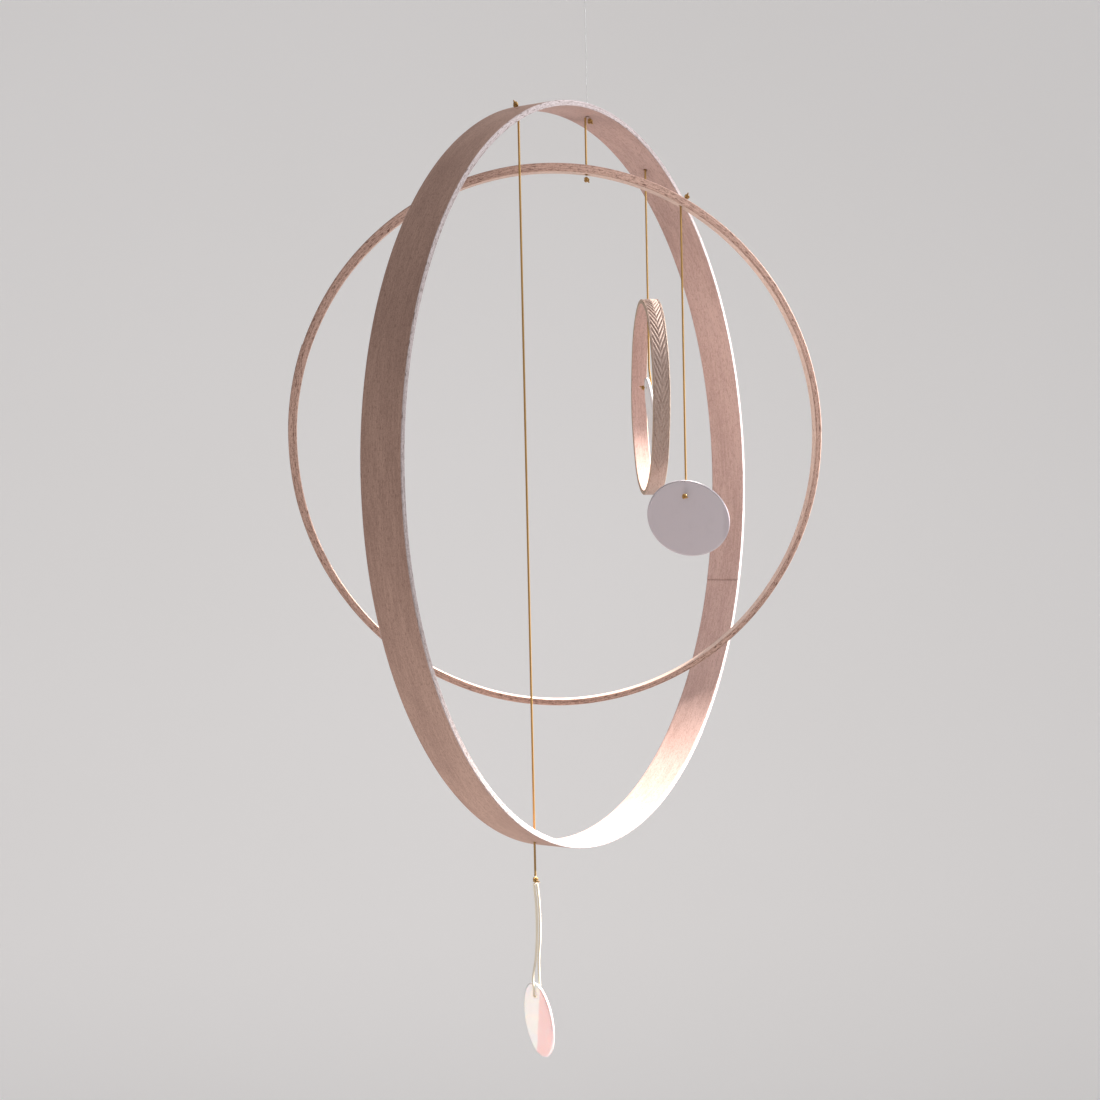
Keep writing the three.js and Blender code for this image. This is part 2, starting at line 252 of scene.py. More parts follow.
@dataclass
class Hoop:
    """A thin strip of wood bent to a circle that stands upright, turned about the vertical.

    Attributes:
        node: the solid that the hoop stands for.
        slot: the material slot it takes its finish from.
        turn: how far its plane is turned from +X, in degrees.
        width: the strip's width.
        wall: the strip's mean thickness.
        swing: how much thicker it is at thick_side, and thinner opposite.
        thick_side: the thickest place round the hoop, in degrees.
        edge: radius of its eased edges.
        wave: how far the bent strip strays from a true circle.
        rows: even rows of points round the hoop.
        flat: steps across each of its wide faces.
        laps: the ends that show.
    """

    node: str
    slot: str
    turn: float
    width: float
    wall: float
    swing: float = 0.0
    thick_side: float = 0.0
    edge: float = 0.45 * MM
    wave: float = 0.12 * MM
    rows: int = 900
    flat: int = 14
    laps: tuple[Lap, ...] = ()

    def __post_init__(self) -> None:
        """Reads the circle from the solid's box."""
        low, high = (np.array(corner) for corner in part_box(self.node))
        self.centre = (low + high) / 2
        self.radius = float(high[2] - low[2]) / 2
        self.along = np.array([cos(radians(self.turn)), sin(radians(self.turn)), 0.0])
        self.normal = np.array([-sin(radians(self.turn)), cos(radians(self.turn)), 0.0])

    def angles(self) -> Array:
        """Gives the rows' angles: even steps, with four close rows at each lap's seam."""
        even = np.linspace(0, 2 * pi, self.rows, endpoint=False)
        sides = (-SEAM_HALF, -SEAM_FLOOR, SEAM_FLOOR, SEAM_HALF)
        seams = [np.mod(radians(lap.at) + side, 2 * pi) for lap in self.laps for side in sides]
        return np.unique(np.concatenate([even, seams]))

    def place(self, angle: Array, radius: Array, across: Array) -> Array:
        """Puts points of the hoop's circle at their places in the mobile.

        A point is centre + radius cos(angle) along + radius sin(angle) up + across normal.
        """
        flat = radius * np.cos(angle)
        points = self.centre + flat[..., None] * self.along + across[..., None] * self.normal
        points[..., 2] += radius * np.sin(angle)
        return points

    def thickness(self, angle: Array) -> Array:
        """Gives the strip's thickness round the hoop: the mean plus a cosine swing."""
        return self.wall + self.swing * np.cos(angle - radians(self.thick_side))

    def stray(self, angle: Array) -> Array:
        """Gives the strip's small wander off its circle, a sum of three sines."""
        slow, quick = 0.5 * np.sin(5 * angle + 1.1), 0.3 * np.sin(11 * angle + 0.4)
        return self.wave * (slow + quick + 0.2 * np.sin(23 * angle))

    def relief(self, angle: Array, depth: Array, across: Array) -> tuple[Array, Array, Array]:
        """Gives the turn, the cut and the mark of carving, which a plain strip has none of."""
        nothing = np.zeros_like(depth)
        return nothing, nothing, nothing

    def sheet(self) -> Sheet:
        """Works out the strip's surface.

        Each row is the rounded section at one angle. A point's radius is the hoop's radius
        less its depth, plus the laps that show on its face, less their seams and the carving.
        """
        angle = self.angles()[:, None]
        depth, across = rounded_section(self.width, self.wall, self.edge, self.flat)
        share = depth / self.wall
        angle, share, across = np.broadcast_arrays(angle, share, across)
        depth = share * self.thickness(angle)
        shift, cut, mark = self.relief(angle, depth, across)
        radius = self.radius - depth + self.stray(angle) - cut
        for lap in self.laps:
            outer = lap.face is Face.OUTER
            near = 1 - share if outer else share
            seam = lap.seam(angle)
            lift = (lap.rise(angle) - SEAM_DEPTH * seam) * near
            radius = radius + lift if outer else radius - lift
            mark = np.maximum(mark, seam * near)
        wobble = self.wave * np.sin(7 * angle + 2.0) * np.abs(across) / self.width
        points = self.place(angle + shift, radius, across + wobble)
        strip = np.stack([(angle + shift) * self.radius, across, depth], axis=-1)
        strip = np.pad(strip, ((0, 1), (0, 1), (0, 0)), mode="wrap")
        strip[-1, :, 0] += 2 * pi * self.radius
        return Sheet(points, strip, {"groove": mark})

    def make(self, finish: "Finish") -> bpy.types.Object:
        """Builds the hoop, dresses it and puts it in the solid's place."""
        piece = self.sheet().build(f"{self.node}_strip")
        settle(piece, finish, self.slot, self.node)
        return piece


@dataclass
class CarvedRing(Hoop):
    """The small ring: a hoop whose outside is carved with chevrons that point round it.

    Attributes:
        chevrons: how many go round.
        groove: depth of the cut between two ridges.
        reach: how far each arm runs from the strip's middle.
        slope: run round the ring for each unit across it.
        plain_from, plain_to: the stretch left plain by the lap, in degrees.
    """

    chevrons: int = 70
    groove: float = 0.6 * MM
    reach: float = 3.9 * MM
    slope: float = 2.7
    plain_from: float = 230.0
    plain_to: float = 300.0
    rows: int = 70 * 12  # twelve to each chevron, so that every cut lies on the same rows
    flat: int = 26

    def angles(self) -> Array:
        """Gives the rows' angles, all evenly spaced."""
        return np.linspace(0, 2 * pi, self.rows, endpoint=False)

    def relief(self, angle: Array, depth: Array, across: Array) -> tuple[Array, Array, Array]:
        """Cuts the chevrons.

        Rows lean back by slope times the distance from the strip's middle, so each row is
        one chevron line. Across the rows the cut is a V whose depth is the distance from the
        nearest ridge; it fades at the strip's margins, at the inner face and by the lap, it is
        worn shallower away from the ring's top, and a slow sum of sines makes no two alike.
        """
        outer = 1 - smooth_step(depth, 0.1 * MM, 0.9 * MM)
        inside = 1 - smooth_step(np.abs(across), self.reach, self.width / 2)
        lean = np.minimum(np.abs(across), self.reach) * inside
        shift = -self.slope * lean / self.radius * outer
        turns = angle * self.chevrons / (2 * pi)
        phase = np.mod(turns, 1.0)
        cut = 1 - np.abs(2 * phase - 1)
        cut = smooth_step(cut, 0.15, 1.0)
        uneven = 0.78 + 0.14 * np.sin(2.3 * turns) + 0.1 * np.sin(5.1 * turns + 900 * across)
        plain = smooth_step(angle, radians(self.plain_from), radians(self.plain_from + 4))
        plain = plain * (1 - smooth_step(angle, radians(self.plain_to - 4), radians(self.plain_to)))
        worn = 0.55 + 0.45 * smooth_step(np.sin(angle), 0.1, 0.75)
        mark = cut * uneven * worn * outer * inside * (1 - plain)
        return shift, self.groove * mark, mark


# ------------------------------------------------------------------ discs


@dataclass
class Disc:
    """A thin flat disc with a softly rounded edge and one cord hole.

    Attributes:
        node: the solid that the disc stands for.
        slot: the material slot it takes its finish from.
        half_width, half_height: its half sizes in its own plane.
        turn: how far it is turned from facing the viewer, in degrees.
        lean: how far its top leans back, in degrees.
        roll: the angle of its longer axis, in degrees.
        hole: the hole's place in its own plane.
        thickness: its thickness.
        hole_radius: the hole's radius where it is narrowest.
        edge: how far the middle of the rounded edge stands out past its corners.
        uneven: how far the outline strays from an oval, as a share of its size.
    """

    node: str
    slot: str
    half_width: float
    half_height: float
    turn: float
    lean: float
    hole: tuple[float, float]
    thickness: float
    roll: float = 0.0
    hole_radius: float = 1.1 * MM
    edge: float = 0.7 * MM
    uneven: float = 0.004

    def __post_init__(self) -> None:
        """Reads the centre from the solid's box."""
        low, high = (Vector(corner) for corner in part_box(self.node))
        upright = Matrix.Rotation(radians(90 + self.lean), 4, "X")
        turned = Matrix.Rotation(radians(self.turn), 4, "Z") @ upright
        self.matrix = Matrix.Translation((low + high) / 2) @ turned

    def world(self, local: Array) -> Array:
        """Turns places of the disc's own plane, its third number the height, to the mobile's."""
        turn = np.array(self.matrix.to_3x3())
        return local @ turn.T + np.array(self.matrix.translation)

    def at_hole(self, height: float, up: float = 0.0) -> Point:
        """Gives the place over or above the hole, at a height over the disc's middle plane."""
        return tuple(self.world(np.array([self.hole[0], self.hole[1] + up, height])))

    def sheet(self) -> Sheet:
        """Works out the disc's surface.

        One way round the grid is the angle about the disc. The other way is the section: out
        from the hole over the face, round the half-circle of the edge and back under the
        disc. A point lies between the hole's circle, which is narrowest at the front, and the
        outline by its share of the way.
        """
        around = np.linspace(0, 2 * pi, 220, endpoint=False)[:, None]
        half = self.thickness / 2
        rim = np.linspace(pi / 2, -pi / 2, 13)
        face_steps, lip = 22, 0.25 * MM
        out = np.concatenate([[0, 0], np.linspace(0.012, 0.96, face_steps)])
        inset = np.zeros(out.size)
        height = np.concatenate([[half - lip, half - 0.06 * MM], np.full(face_steps, half)])
        out = np.concatenate([out, np.ones(rim.size), out[::-1]])
        inset = np.concatenate([inset, self.edge * (np.cos(rim) - 1), inset])
        height = np.concatenate([height, half * np.sin(rim), -height[::-1]])
        ripple = 1 + self.uneven * (np.sin(2 * around + 0.7) + 0.6 * np.sin(3 * around + 2.1))
        wide = self.half_width * ripple
        high = self.half_height * ripple
        roll = radians(self.roll)
        own = around - roll
        x = wide * np.cos(own) * cos(roll) - high * np.sin(own) * sin(roll)
        y = wide * np.cos(own) * sin(roll) + high * np.sin(own) * cos(roll)
        pull = 1 + inset / np.hypot(x, y)
        flare = np.concatenate([[0, 0.7], np.ones(out.size - 2)])
        bore = self.hole_radius + lip * flare
        hole_x = self.hole[0] + bore * np.cos(around)
        hole_y = self.hole[1] + bore * np.sin(around)
        across = hole_x + (x * pull - hole_x) * out
        up = hole_y + (y * pull - hole_y) * out
        local = np.stack(np.broadcast_arrays(across, up, height), axis=-1)
        return Sheet(self.world(local), None, {"plate": local})

    def make(self, finish: "Finish") -> bpy.types.Object:
        """Builds the disc, dresses it and puts it in the solid's place."""
        piece = self.sheet().build(f"{self.node}_plate")
        settle(piece, finish, self.slot, self.node)
        return piece


# ------------------------------------------------------------------ cords


def smooth_route(points: list[Point], step: float) -> Array:
    """Threads a centripetal Catmull-Rom curve through a route's points.

    Between two points the curve is the cubic whose end tangents follow from the square roots
    of the distances to the neighbouring points. The result has places an even step apart.

    Args:
        points: the route's points in metres.
        step: distance between the places given back.

    Returns:
        The places along the route, n by 3.
    """
    route = np.array(points, dtype=float)
    route = np.concatenate([[2 * route[0] - route[1]], route, [2 * route[-1] - route[-2]]])
    gap = np.sqrt(np.linalg.norm(np.diff(route, axis=0), axis=1))[:, None]
    before, here, after, beyond = route[:-3], route[1:-2], route[2:-1], route[3:]
    gap_0, gap_1, gap_2 = gap[:-2], gap[1:-1], gap[2:]
    leave = (here - before) / gap_0 - (after - before) / (gap_0 + gap_1) + (after - here) / gap_1
    arrive = (after - here) / gap_1 - (beyond - here) / (gap_1 + gap_2) + (beyond - after) / gap_2
    leave, arrive = leave * gap_1, arrive * gap_1
    t = np.linspace(0, 1, 60, endpoint=False)[None, :, None]
    here, after, leave, arrive = (part[:, None] for part in (here, after, leave, arrive))
    curve = (
        here
        + leave * t
        + (3 * (after - here) - 2 * leave - arrive) * t**2
        + (2 * (here - after) + leave + arrive) * t**3
    ).reshape(-1, 3)
    curve = np.concatenate([curve, route[-2:-1]])
    run = np.concatenate([[0], np.cumsum(np.linalg.norm(np.diff(curve, axis=0), axis=1))])
    even = np.linspace(0, run[-1], max(int(run[-1] / step), 8))
    return np.stack([np.interp(even, run, curve[:, axis]) for axis in range(3)], axis=-1)


def tube(path: Array, radius: Array, side: Point, closed: bool = False) -> tuple[Array, Array]:
    """Carries a ring of points along a path.

    A point is path + radius (cos(around) sideways + sin(around) crossways), where sideways is
    at right angles to the path and to a fixed direction.

    Args:
        path: n by 3 places.
        radius: n by sides distances from the path.
        side: a direction that the path never follows.
        closed: whether the path's end meets its start.

    Returns:
        The places, and the four-sided faces, outwards, with the ends closed by a pole each.
    """
    rings, sides = radius.shape
    if closed:
        tangent = np.roll(path, -1, axis=0) - np.roll(path, 1, axis=0)
    else:
        tangent = np.gradient(path, axis=0)
    sideways = np.cross(tangent, np.array(side))
    crossways = np.cross(tangent, sideways)
    sideways /= np.linalg.norm(sideways, axis=1, keepdims=True)
    crossways /= np.linalg.norm(crossways, axis=1, keepdims=True)
    around = np.linspace(0, 2 * pi, sides, endpoint=False)
    ring = (
        np.cos(around)[None, :, None] * sideways[:, None]
        + np.sin(around)[None, :, None] * crossways[:, None]
    )
    places = (path[:, None] + radius[..., None] * ring).reshape(-1, 3)
    faces = closed_faces(rings, sides)
    if not closed:
        last = (rings - 1) * sides
        here = np.arange(sides)
        ahead = (here + 1) % sides
        start, end = (np.full(sides, rings * sides + pole) for pole in (0, 1))
        first_cap = np.stack([ahead, here, start, start], axis=1)
        last_cap = np.stack([last + here, last + ahead, end, end], axis=1)
        places = np.concatenate([places, path[:1], path[-1:]])
        faces = np.concatenate([faces[:last], first_cap, last_cap])
    if signed_volume(places, faces) < 0:
        faces = faces[:, [1, 0, 3, 2]]
    return places, faces


@dataclass(frozen=True)
class Twist:
    """How a cord is laid: equal strands turned round each other.

    Attributes:
        strands: how many there are, or one for a plain line.
        pitch: length of a strand's full turn, in diameters of the cord.
        fullness: a strand's radius as a share of the cord's.
    """

    strands: int
    pitch: float
    fullness: float

    def radius(self, run: Array, sides: int, diameter: float) -> Array:
        """Gives the outline of the twisted cord at each place along it.

        The outline is the outermost of the strands' circles: offset cos(a) +
        sqrt(strand^2 - offset^2 sin(a)^2), where a is the angle from the nearest strand.
        """
        around = np.linspace(0, 2 * pi, sides, endpoint=False)[None, :]
        if self.strands == 1:
            return np.full((run.size, sides), diameter / 2)
        strand = self.fullness * diameter / 2
        offset = diameter / 2 - strand
        share = 2 * pi / self.strands
        turned = around - 2 * pi * run[:, None] / (self.pitch * diameter)
        angle = np.mod(turned + share / 2, share) - share / 2
        return offset * np.cos(angle) + np.sqrt(strand**2 - (offset * np.sin(angle)) ** 2)


KNOT_TWIST = Twist(3, 3.2, 0.62)


@dataclass
class Cord:
    """A cord that hangs free between its knots.

    Attributes:
        name: the piece's name.
        nodes: the solids it stands for.
        slot: the material slot it takes its finish from.
        points: the route's given points, in metres.
        diameter: the cord's diameter.
        twist: how it is laid.
        side: a direction that the route never follows.
        sides: points round the cord.
    """

    name: str
    nodes: tuple[str, ...]
    slot: str
    points: list[Point]
    diameter: float
    twist: Twist
    lay: str = "hanging"
    side: Point = (0.0, 1.0, 0.0)
    sides: int = 18

    def make(self, finish: "Finish", knots: list[bpy.types.Object]) -> bpy.types.Object:
        """Args:
            finish: what it is dressed in.
            knots: not used.

        Returns:
            The cord's object.
        """
        path = smooth_route(self.points, 0.28 * self.diameter)
        run = np.linspace(0, 1, len(path)) * path_length(path)
        radius = self.twist.radius(run, self.sides, self.diameter)
        piece = mesh_piece(self.name, *tube(path, radius, self.side))
        add_mark(piece, "crest", np.append(radius / radius.max(), [1.0, 1.0]))
        settle(piece, finish, self.slot, *self.nodes)
        return piece


def path_length(path: Array) -> float:
    """Adds up the distances between a path's places."""
    return float(np.linalg.norm(np.diff(path, axis=0), axis=1).sum())


@dataclass
class Knot:
    """An overhand knot pulled tight, with its short cut end.

    Attributes:
        node: the solid that the knot stands for.
        slot: the material slot it takes its finish from.
        axis: the direction the knot's loop is wound about.
        strand: the cord's thickness inside the knot.
        tail: where the cut end points to.
    """

    node: str
    slot: str
    axis: Point
    strand: float
    tail: Point

    def make(self, finish: "Finish") -> bpy.types.Object:
        """Builds the knot: a trefoil, (2 + cos 3t) round twice while sin 3t goes across."""
        low, high = (np.array(corner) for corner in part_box(self.node))
        centre = (low + high) / 2
        reach = float((high - low).mean()) / 2
        t = np.linspace(0, 2 * pi, 160, endpoint=False)
        wide = 2 + np.cos(3 * t)
        loop = np.stack([wide * np.cos(2 * t), wide * np.sin(2 * t), np.sin(3 * t)], axis=-1)
        loop *= (reach - self.strand / 2) / 3
        turn = np.array(Vector((0, 0, 1)).rotation_difference(Vector(self.axis)).to_matrix())
        path = centre + loop @ turn.T
        run = t / (2 * pi) * 9 * reach  # nine reaches of cord in the loop, near enough
        radius = KNOT_TWIST.radius(run, 12, self.strand)
        places, faces = tube(path, radius, tuple(turn @ np.array([0, 0, 1.0])), closed=True)
        ends, end_faces, end_crest = self.cut_end(centre, reach)
        faces = np.concatenate([faces, end_faces + len(places)])
        piece = mesh_piece(f"{self.node}_tied", np.concatenate([places, ends]), faces)
        add_mark(piece, "crest", np.append(radius / radius.max(), end_crest))
        settle(piece, finish, self.slot, self.node)
        return piece

    def cut_end(self, centre: Array, reach: float) -> tuple[Array, Array, Array]:
        """Works out the short cut end that sticks out of the knot.

        It runs straight along the tail from inside the knot, strays aside by the square of
        its way, and frays a little wider at its tip.

        Args:
            centre: the knot's middle.
            reach: the knot's radius.

        Returns:
            The end's places, its faces, and each point's mark of how high it stands.
        """
        upright = (0.0, 1.0, 0.2)
        along = np.array(self.tail) / np.linalg.norm(self.tail)
        way = np.linspace(0, 1, 16)[:, None]
        path = centre + (0.4 + 1.05 * way) * reach * along
        path = path + way**2 * 0.25 * reach * np.cross(along, upright)
        radius = KNOT_TWIST.radius(1.2 * reach * way[:, 0], 12, 0.8 * self.strand)
        radius = radius * (1 + 0.12 * way)
        places, faces = tube(path, radius, upright)
        return places, faces, np.append(radius / radius.max(), [1.0, 1.0])


# ------------------------------------------------------------------ shader nodes


class Board:
    """The node tree of a material or a world, with one method that places any node."""

    def __init__(self, owner: bpy.types.Material | bpy.types.World) -> None:
        """Empties the owner's node tree."""
        owner.use_nodes = True
        self.owner = owner
        self.tree = owner.node_tree
        self.tree.nodes.clear()

    def node(self, kind: str, settings: dict | None = None, inputs: dict | None = None) -> bpy.types.Node:
        """Places a node.

        Args:
            kind: the node's type, without the ShaderNode at its front.
            settings: values of the node itself, and the stops of a ramp as "stops".
            inputs: values or links of its sockets, by name or by number.

        Returns:
            The node.
        """
        node = self.tree.nodes.new(f"ShaderNode{kind}")
        for key, value in (settings or {}).items():
            setattr(node, key, value)
        for key, value in (inputs or {}).items():
            value = value.socket if isinstance(value, Signal) else value
            if isinstance(value, bpy.types.NodeSocket):
                self.tree.links.new(value, node.inputs[key])
            else:
                node.inputs[key].default_value = value
        return node

    def mark(self, name: str) -> bpy.types.Node:
        """Reads a named attribute of the piece."""
        return self.node("Attribute", {"attribute_name": name})

    def stretched(self, place: bpy.types.NodeSocket, scale: Point) -> bpy.types.NodeSocket:
        """Multiplies a place by a scale for each of its three measures."""
        return self.node("VectorMath", {"operation": "MULTIPLY"}, {0: place, 1: scale}).outputs[0]

    def noise(
        self, place: bpy.types.NodeSocket, scale: float, detail: float = 2.0, rough: float = 0.5
    ) -> "Signal":
        """Gives a noise from 0 to 1 at a place."""
        inputs = {"Vector": place, "Scale": scale, "Detail": detail, "Roughness": rough}
        return Signal(self, self.node("TexNoise", None, inputs).outputs[0])

    def mix(self, share: "Signal", first: object, second: object) -> bpy.types.NodeSocket:
        """Mixes two colours by a share from 0 to 1."""
        return self.node("Mix", {"data_type": "RGBA"}, {0: share, 6: first, 7: second}).outputs[2]

    def bumps(self, strength: float, distance: float, height: "Signal") -> bpy.types.NodeSocket:
        """Turns a height from 0 to 1 into a bumpy normal."""
        inputs = {"Strength": strength, "Distance": distance, "Height": height}
        return self.node("Bump", None, inputs).outputs[0]

    def finish(self, shader: bpy.types.Node) -> bpy.types.Material | bpy.types.World:
        """Joins a shader to the owner's output."""
        output = "OutputWorld" if isinstance(self.owner, bpy.types.World) else "OutputMaterial"
        self.node(output, None, {"Surface": shader.outputs[0]})
        return self.owner


class Signal:
    """A number that a shader socket gives; arithmetic on it adds Math nodes."""

    def __init__(self, board: Board, socket: bpy.types.NodeSocket) -> None:
        """Wraps a socket of the board's tree."""
        self.board = board
        self.socket = socket

    def _math(self, operation: str, first: object, second: object = 0.0) -> "Signal":
        """Adds one Math node on two numbers or signals."""
        node = self.board.node("Math", {"operation": operation}, {0: first, 1: second})
        return Signal(self.board, node.outputs[0])

    def __add__(self, other: object) -> "Signal":
        """Adds."""
        return self._math("ADD", self, other)

    __radd__ = __add__

    def __sub__(self, other: object) -> "Signal":
        """Subtracts other from this."""
        return self._math("SUBTRACT", self, other)

    def __rsub__(self, other: object) -> "Signal":
        """Subtracts this from other."""
        return self._math("SUBTRACT", other, self)

    def __mul__(self, other: object) -> "Signal":
        """Multiplies."""
        return self._math("MULTIPLY", self, other)

    __rmul__ = __mul__

    def __abs__(self) -> "Signal":
        """Drops the sign."""
        return self._math("ABSOLUTE", self)

    def ease(self, low: float, high: float) -> "Signal":
        """Goes smoothly from 0 where this is low to 1 where it is high."""
        settings = {"interpolation_type": "SMOOTHSTEP"}
        inputs = {"Value": self, "From Min": low, "From Max": high}
        return Signal(self.board, self.board.node("MapRange", settings, inputs).outputs[0])


# ------------------------------------------------------------------ finishes


class Finish:
    """A surface finish that makes its own material."""

    def build(self) -> bpy.types.Material:
        """Makes the material."""
        raise NotImplementedError


@dataclass(frozen=True)
class SideColours:
    """The thin pale stain's colours on one side of a strip, on pale and on dark fibres; on the inner side
    they are lighter as painted bounce light.
    """

    light: Colour
    dark: Colour


@dataclass(frozen=True)
class PaleWood(Finish):
    """Bentwood under a thin pale stain: fibres run along the strip, plies show on its edge.

    Attributes:
        name: the material's name.
        outside, inside, edge: the colours on the strip's three kinds of side; the inside's are lighter as
            painted bounce light on the inner face.
        width, wall: the strip's width and thickness, to tell its sides apart.
        fibre: strength of the fibres' colour.
        blotch: strength of the broad patches.
        rough: the wood's roughness.
        bump: strength of the fibres' relief.
        cut_shade_and_seam_colour: painted shade deep in the carving's cuts, which also gives the laps'
            seams their dark joint line.
    """

    name: str
    outside: SideColours
    inside: SideColours
    edge: SideColours
    width: float
    wall: float
    fibre: float = 0.5
    blotch: float = 0.5
    rough: float = 0.62
    bump: float = 0.4
    cut_shade_and_seam_colour: Colour = (0.2, 0.13, 0.1, 1)

    def build(self) -> bpy.types.Material:
        """Makes the material from stretched noises on the strip's own measures."""
        board = Board(bpy.data.materials.new(self.name))
        strip = board.mark("strip").outputs["Vector"]
        parts = board.node("SeparateXYZ", None, {0: strip})
        fibres = board.noise(board.stretched(strip, (70, 900, 900)), 1.0, 3.0, 0.6)
        pores = board.noise(board.stretched(strip, (430, 2600, 2600)), 1.0, 1.0)
        patches = board.noise(board.stretched(strip, (14, 60, 60)), 1.0, 3.0, 0.55)
        speckle = board.noise(strip, 1500.0, 2.0, 0.7)
        tone = (fibres - 0.5) * self.fibre + (patches - 0.5) * self.blotch + (speckle - 0.5) * 0.6
        tone = (tone - pores.ease(0.56, 0.7) * 0.34 + 0.53).ease(0.2, 0.8)
        # the inside colours are lighter than the outside ones: painted bounce light on the inner face
        inwards = Signal(board, parts.outputs[2]).ease(0.35 * self.wall, 0.65 * self.wall)
        dark = board.mix(inwards, self.outside.dark, self.inside.dark)
        light = board.mix(inwards, self.outside.light, self.inside.light)
        face = board.mix(tone, dark, light)
        plies = board.noise(board.stretched(strip, (18, 200, 2600)), 1.0, 2.0, 0.6)
        flecks = board.noise(board.stretched(strip, (300, 900, 2200)), 1.0, 2.0)
        edge_tone = (plies - 0.5) * 0.8 + (speckle - 0.5) * 0.7 - flecks.ease(0.55, 0.68) * 0.45 + 0.58
        edge = board.mix(edge_tone.ease(0.15, 0.8), self.edge.dark, self.edge.light)
        across = abs(Signal(board, parts.outputs[1]))
        on_edge = across.ease(self.width / 2 - 0.5 * MM, self.width / 2 - 0.1 * MM)
        colour = board.mix(on_edge, face, edge)
        # darkens the carving's cuts as painted shade, and the laps' seams as their dark joint line
        groove = Signal(board, board.mark("groove").outputs["Fac"])
        colour = board.mix(groove.ease(0.25, 0.95) * 0.55, colour, self.cut_shade_and_seam_colour)
        height = fibres * 0.5 + speckle * 0.5 - pores.ease(0.56, 0.72) * 0.4
        inputs = {
            "Base Color": colour,
            "Roughness": self.rough + (fibres - 0.5) * 0.2,
            "Normal": board.bumps(self.bump, 0.15 * MM, height),
            "Specular IOR Level": 0.35,
        }
        return board.finish(board.node("BsdfPrincipled", None, inputs))


@dataclass(frozen=True)
class PlatePaint(Finish):
    """Paint on a thin disc, a little uneven, with a tone at one side.

    Attributes:
        name: the material's name.
        colour: the main paint.
        second: the paint beyond the soft border.
        border: the border's direction across the plate.
        offset: the border's distance from the plate's centre.
        soft: half the border's width.
        rough: the paint's roughness.
        coat: strength of its clear coat.
        glow: how much light passes into the plate and comes out beside.
    """

    name: str
    colour: Colour
    second: Colour
    border: Point = (1.0, 0.0, 0.0)
    offset: float = 1.0
    soft: float = 1.2 * MM
    rough: float = 0.6
    coat: float = 0.0
    glow: float = 0.0

    def build(self) -> bpy.types.Material:
        """Makes the material from the plate's own plane coordinates."""
        board = Board(bpy.data.materials.new(self.name))
        plate = board.mark("plate").outputs["Vector"]
        across = board.node("VectorMath", {"operation": "DOT_PRODUCT"}, {0: plate, 1: self.border})
        patches = board.noise(plate, 120.0, 3.0, 0.6)
        grain = board.noise(board.stretched(plate, (900, 260, 900)), 1.0, 2.0, 0.6)
        side = Signal(board, across.outputs["Value"]) + (patches - 0.5) * 2 * self.soft
        beyond = side.ease(self.offset - self.soft, self.offset + self.soft)
        paint = board.mix(beyond, self.colour, self.second)
        worn = tuple(0.9 * part for part in self.colour[:3]) + (1.0,)
        paint = board.mix((patches * 0.6 + grain * 0.4).ease(0.5, 0.72) * 0.35, paint, worn)
        inputs = {
            "Base Color": paint,
            "Roughness": self.rough + (patches - 0.5) * 0.2,
            "Coat Weight": self.coat,
            "Coat Roughness": 0.15,
            "Subsurface Weight": self.glow,
            "Subsurface Radius": (0.004, 0.003, 0.0025),
            "Subsurface Scale": 1.0,
            "Normal": board.bumps(0.18, 0.2 * MM, patches * 0.7 + grain * 0.3),
        }
        return board.finish(board.node("BsdfPrincipled", None, inputs))


@dataclass(frozen=True)
class Thread(Finish):
    """Twisted thread: its own colour on the strands' crests, and painted shade dark between them.

    Attributes:
        name: the material's name.
        crest, hollow: the thread's colour on the strands, and the painted shade between them.
        metallic: how metallic the thread is.
        rough: its roughness.
    """

    name: str
    crest: Colour
    hollow_shade: Colour
    metallic: float
    rough: float

    def build(self) -> bpy.types.Material:
        """Makes the material from the mark of each point's height on the strands."""
        board = Board(bpy.data.materials.new(self.name))
        crest = Signal(board, board.mark("crest").outputs["Fac"])
        place = board.node("TexCoord").outputs["Object"]
        fuzz = board.noise(board.stretched(place, (2400, 2400, 900)), 1.0, 2.0, 0.6)
        lift = crest.ease(0.66, 0.98) * (0.75 + fuzz * 0.5)
        # the hollows between the strands take the painted shade colour
        colour = board.mix(lift.ease(0.0, 1.0), self.hollow_shade, self.crest)
        inputs = {
            "Base Color": colour,
            "Metallic": self.metallic,
            "Roughness": self.rough + (fuzz - 0.5) * 0.25,
            "Normal": board.bumps(0.3, 0.08 * MM, fuzz),
        }
        return board.finish(board.node("BsdfPrincipled", None, inputs))


@dataclass(frozen=True)
class ClearNylon(Finish):
    """Clear drawn nylon, faintly uneven along its length."""

    name: str = "clear_nylon"

    def build(self) -> bpy.types.Material:
        """Makes the see-through material."""
        board = Board(bpy.data.materials.new(self.name))
        place = board.node("TexCoord").outputs["Object"]
        ripple = board.noise(board.stretched(place, (300, 300, 90)), 1.0, 2.0)
        inputs = {
            "Base Color": (0.93, 0.94, 0.94, 1),
            "Roughness": 0.08 + ripple * 0.08,
            "IOR": 1.5,
            "Transmission Weight": 0.95,
            "Normal": board.bumps(0.1, 0.05 * MM, ripple),
        }
        return board.finish(board.node("BsdfPrincipled", None, inputs))


def settle(piece: bpy.types.Object, finish: Finish, slot: str, *nodes: str) -> None:
    """Dresses a piece, makes it ride with the mobile and puts it in its solids' place.

    Args:
        piece: the finished object.
        finish: what it is dressed in.
        slot: not used.
        nodes: the solids that it stands for.
    """
    known = bpy.data.materials.get(finish.name)
    piece.data.materials.append(known or finish.build())
    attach(piece, BODY)
    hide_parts(*nodes)
    LOG.info("made %s for %s, %d faces", piece.name, ", ".join(nodes), len(piece.data.polygons))
